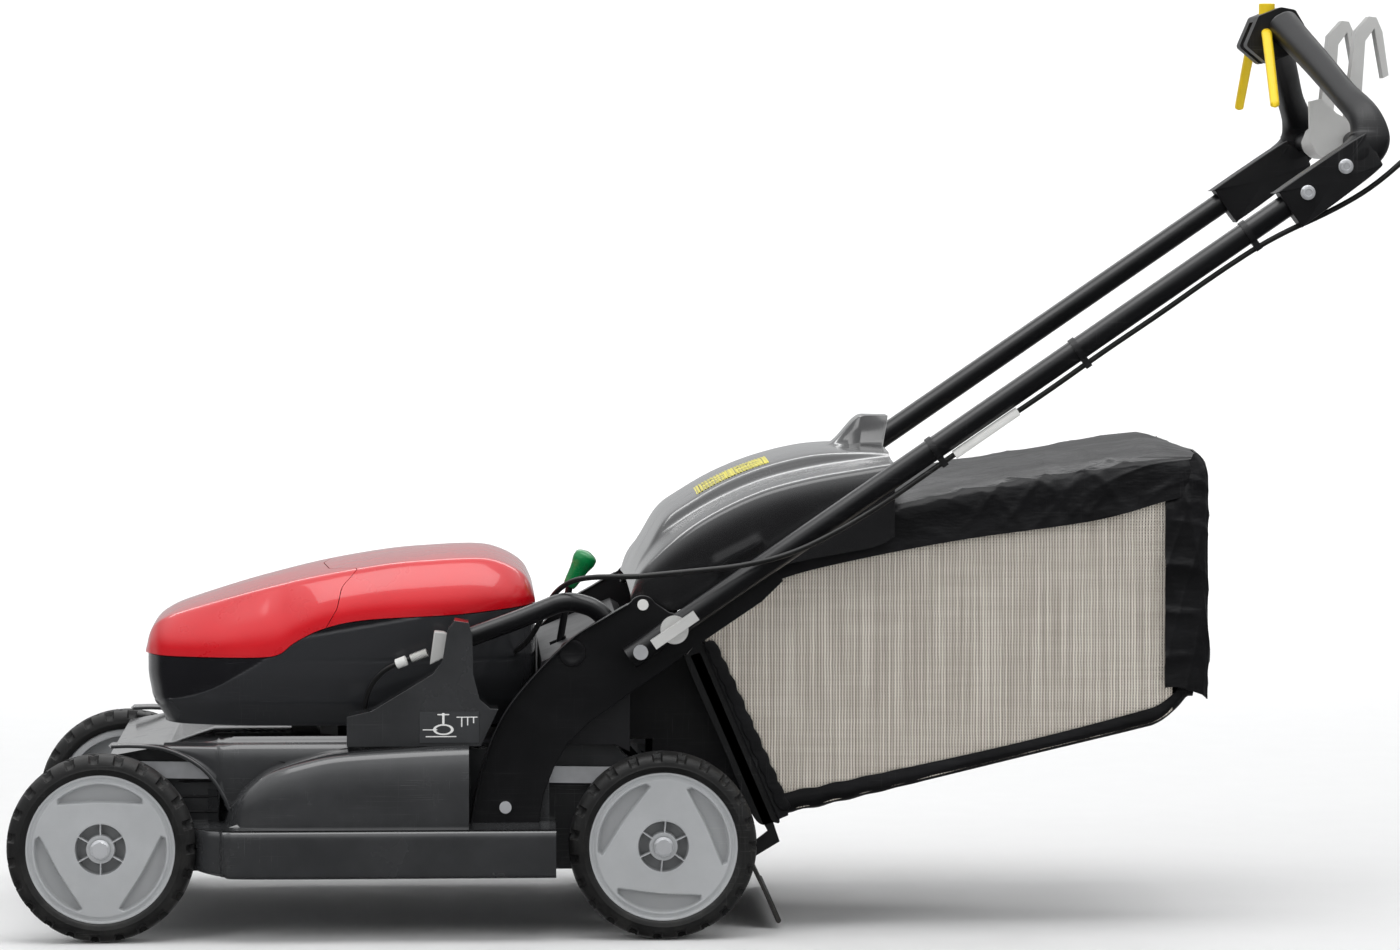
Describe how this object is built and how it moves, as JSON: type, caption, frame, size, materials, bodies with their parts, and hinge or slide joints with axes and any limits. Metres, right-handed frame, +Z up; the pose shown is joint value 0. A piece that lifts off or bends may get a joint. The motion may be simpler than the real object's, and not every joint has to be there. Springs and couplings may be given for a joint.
{
  "type": "petrol lawn mower",
  "caption": "Walk-behind petrol lawn mower with folding handle, height-adjustable wheels, rear discharge flap and removable fabric grass bag.",
  "frame": {"origin": "on the ground, at the bottom centre of the whole machine's box, with the handle unfolded and the bag on", "axes": "+X to the rear, towards the user; +Y to the machine's right; +Z up"},
  "size_m": [1.5138, 0.576, 1.0156],
  "materials": {
    "deck_polymer": "glossy moulded",
    "black_plastic": "fine moulded grain",
    "cowl_plastic": "satin",
    "red_gloss": "high gloss",
    "shroud_black": "gloss black",
    "black_paint": "semi-gloss powder coat",
    "zinc": "zinc plated",
    "blade_steel": "ground edges",
    "cast_metal": "as cast",
    "iron": "as cast",
    "tyre_rubber": "moulded",
    "belt_rubber": "fabric-backed",
    "rim_grey": "satin grey",
    "light_grey": "satin light grey",
    "white_plastic": "satin white",
    "yellow_plastic": "satin yellow",
    "green_plastic": "gloss green knob on a black rod",
    "cable_black": "vinyl sheath",
    "mesh_fabric": "coarse woven mesh with black vinyl panels",
    "vinyl_top": "coated black cloth"
  },
  "bodies": {
    "chassis": {"deck_shell": "deck_polymer", "discharge_chute": "black_plastic", "rear_cowl": "cowl_plastic", "side_cover": "deck_polymer", "lift_handle": "black_paint", "stay_left": "black_paint", "stay_right": "black_paint", "frame_bolts": "zinc", "flap_pins": "white_plastic", "engine_cover_front": "red_gloss", "engine_cover_rear": "red_gloss", "engine_shroud": "shroud_black", "engine_block": "cast_metal", "muffler": "iron", "fuel_tank": "white_plastic", "air_filter_box": "black_plastic", "transmission_case": "cast_metal", "drive_belt": "belt_rubber", "deck_cable": "cable_black", "trigger_cable": "cable_black"},
    "rotor": {"crankshaft": "blade_steel", "flywheel": "cast_metal", "blades": "blade_steel", "blade_holder": "iron", "blade_bolt": "zinc"},
    "gearbox_input": {"gearbox_pulley": "zinc"},
    "wheel_drive": {"drive_shaft": "blade_steel"},
    "front_left_crank": {"front_arm_left": "zinc"},
    "front_right_crank": {"front_arm_right": "zinc"},
    "rear_axle": {"rear_arms": "zinc"},
    "left_link": {"link_bar_left": "zinc"},
    "right_link": {"link_bar_right": "zinc"},
    "front_left_wheel": {"tyre_front_left": "tyre_rubber", "rim_front_left": "rim_grey"},
    "front_right_wheel": {"tyre_front_right": "tyre_rubber", "rim_front_right": "rim_grey"},
    "rear_left_wheel": {"tyre_rear_left": "tyre_rubber", "rim_rear_left": "rim_grey"},
    "rear_right_wheel": {"tyre_rear_right": "tyre_rubber", "rim_rear_right": "rim_grey"},
    "handle": {"handle_tube_left": "black_paint", "handle_tube_right": "black_paint", "grip_frame": "black_plastic", "control_module": "black_plastic", "handle_bolts": "zinc", "control_cable": "cable_black", "cable_clips": "black_plastic", "cable_adjuster": "white_plastic"},
    "left_knob": {"wing_knob_left": "light_grey"},
    "right_knob": {"wing_knob_right": "light_grey"},
    "start_button": {"safety_button": "yellow_plastic"},
    "blade_control": {"blade_lever": "yellow_plastic"},
    "drive_control": {"drive_lever": "light_grey"},
    "flap": {"discharge_flap": "shroud_black"},
    "grass_bag": {"bag_frame": "black_plastic", "bag_top": "vinyl_top", "bag_fabric": "mesh_fabric"},
    "rear_shield": {"trailing_shield": "belt_rubber"},
    "height_release": {"height_trigger": "light_grey"},
    "mulch_selector": {"chute_lever": "green_plastic"}
  },
  "joints": [
    {"name": "crank_spin", "type": "hinge", "parent": "chassis", "child": "rotor", "pos_m": [-0.35325, 0, 0.1016], "axis": [0, 0, 1], "continuous": true},
    {"name": "gearbox_spin", "type": "hinge", "parent": "chassis", "child": "gearbox_input", "pos_m": [-0.03257, 0.138, 0.2116], "axis": [0, 0, 1], "continuous": true},
    {"name": "drive_shaft_spin", "type": "hinge", "parent": "chassis", "child": "wheel_drive", "pos_m": [0.00543, 0, 0.122], "axis": [0, 1, 0], "continuous": true},
    {"name": "front_left_height", "type": "hinge", "parent": "chassis", "child": "front_left_crank", "pos_m": [-0.60377, -0.209, 0.132], "axis": [0, 1, 0], "range_deg": [0, 53.6]},
    {"name": "front_right_height", "type": "hinge", "parent": "chassis", "child": "front_right_crank", "pos_m": [-0.60377, 0.209, 0.132], "axis": [0, 1, 0], "range_deg": [0, 53.6]},
    {"name": "rear_height", "type": "hinge", "parent": "chassis", "child": "rear_axle", "pos_m": [0.00543, 0, 0.122], "axis": [0, 1, 0], "range_deg": [0, 53.6]},
    {"name": "left_link_pivot", "type": "hinge", "parent": "front_left_crank", "child": "left_link", "pos_m": [-0.62902, -0.213, 0.18199], "axis": [0, 1, 0], "range_deg": [-53.6, 0]},
    {"name": "right_link_pivot", "type": "hinge", "parent": "front_right_crank", "child": "right_link", "pos_m": [-0.62902, 0.213, 0.18199], "axis": [0, 1, 0], "range_deg": [-53.6, 0]},
    {"name": "front_left_spin", "type": "hinge", "parent": "front_left_crank", "child": "front_left_wheel", "pos_m": [-0.6555, -0.251, 0.1016], "axis": [0, 1, 0], "continuous": true},
    {"name": "front_right_spin", "type": "hinge", "parent": "front_right_crank", "child": "front_right_wheel", "pos_m": [-0.6555, 0.251, 0.1016], "axis": [0, 1, 0], "continuous": true},
    {"name": "rear_left_spin", "type": "hinge", "parent": "rear_axle", "child": "rear_left_wheel", "pos_m": [-0.051, -0.251, 0.1016], "axis": [0, 1, 0], "continuous": true},
    {"name": "rear_right_spin", "type": "hinge", "parent": "rear_axle", "child": "rear_right_wheel", "pos_m": [-0.051, 0.251, 0.1016], "axis": [0, 1, 0], "continuous": true},
    {"name": "handle_fold", "type": "hinge", "parent": "chassis", "child": "handle", "pos_m": [-0.0755, 0, 0.3117], "axis": [0, -1, 0], "range_deg": [0, 120], "deforming": ["deck_cable"]},
    {"name": "left_knob_turn", "type": "hinge", "parent": "handle", "child": "left_knob", "pos_m": [-0.0393, -0.28, 0.3361], "axis": [0, -1, 0], "range_deg": [0, 90]},
    {"name": "right_knob_turn", "type": "hinge", "parent": "handle", "child": "right_knob", "pos_m": [-0.0393, 0.28, 0.3361], "axis": [0, 1, 0], "range_deg": [-90, 0]},
    {"name": "start_button_press", "type": "slide", "parent": "handle", "child": "start_button", "axis": [0, 0, -1], "range_m": [0, 0.005], "stiffness_N_per_m": 400},
    {"name": "blade_lever_pull", "type": "hinge", "parent": "handle", "child": "blade_control", "pos_m": [0.62975, 0, 0.9816], "axis": [0, -1, 0], "range_deg": [0, 25], "stiffness_Nm_per_rad": 4, "springref_deg": -8.59},
    {"name": "drive_lever_push", "type": "hinge", "parent": "handle", "child": "drive_control", "pos_m": [0.71448, 0, 0.8607], "axis": [0, -1, 0], "range_deg": [0, 18], "stiffness_Nm_per_rad": 6, "springref_deg": -11.46},
    {"name": "flap_open", "type": "hinge", "parent": "chassis", "child": "flap", "pos_m": [-0.072, 0, 0.3606], "axis": [0, -1, 0], "range_deg": [0, 50]},
    {"name": "bag_lift_off", "type": "slide", "parent": "chassis", "child": "grass_bag", "axis": [0.9848, 0, 0.1736], "range_m": [0, 0.45]},
    {"name": "shield_swing", "type": "hinge", "parent": "chassis", "child": "rear_shield", "pos_m": [0.04475, 0, 0.0836], "axis": [0, -1, 0], "range_deg": [0, 50]},
    {"name": "height_trigger_squeeze", "type": "slide", "parent": "chassis", "child": "height_release", "axis": [1, 0, 0], "range_m": [0, 0.008], "stiffness_N_per_m": 600},
    {"name": "chute_lever_shift", "type": "hinge", "parent": "chassis", "child": "mulch_selector", "pos_m": [-0.16425, -0.06, 0.2696], "axis": [-1, 0, 0], "range_deg": [0, 30]}
  ],
  "couplings": [
    {"joint": "gearbox_spin", "follows": "crank_spin", "ratio": 0.78571},
    {"joint": "front_right_height", "follows": "front_left_height", "ratio": 1},
    {"joint": "rear_height", "follows": "front_left_height", "ratio": 1},
    {"joint": "left_link_pivot", "follows": "front_left_height", "ratio": -1},
    {"joint": "right_link_pivot", "follows": "front_left_height", "ratio": -1}
  ]
}
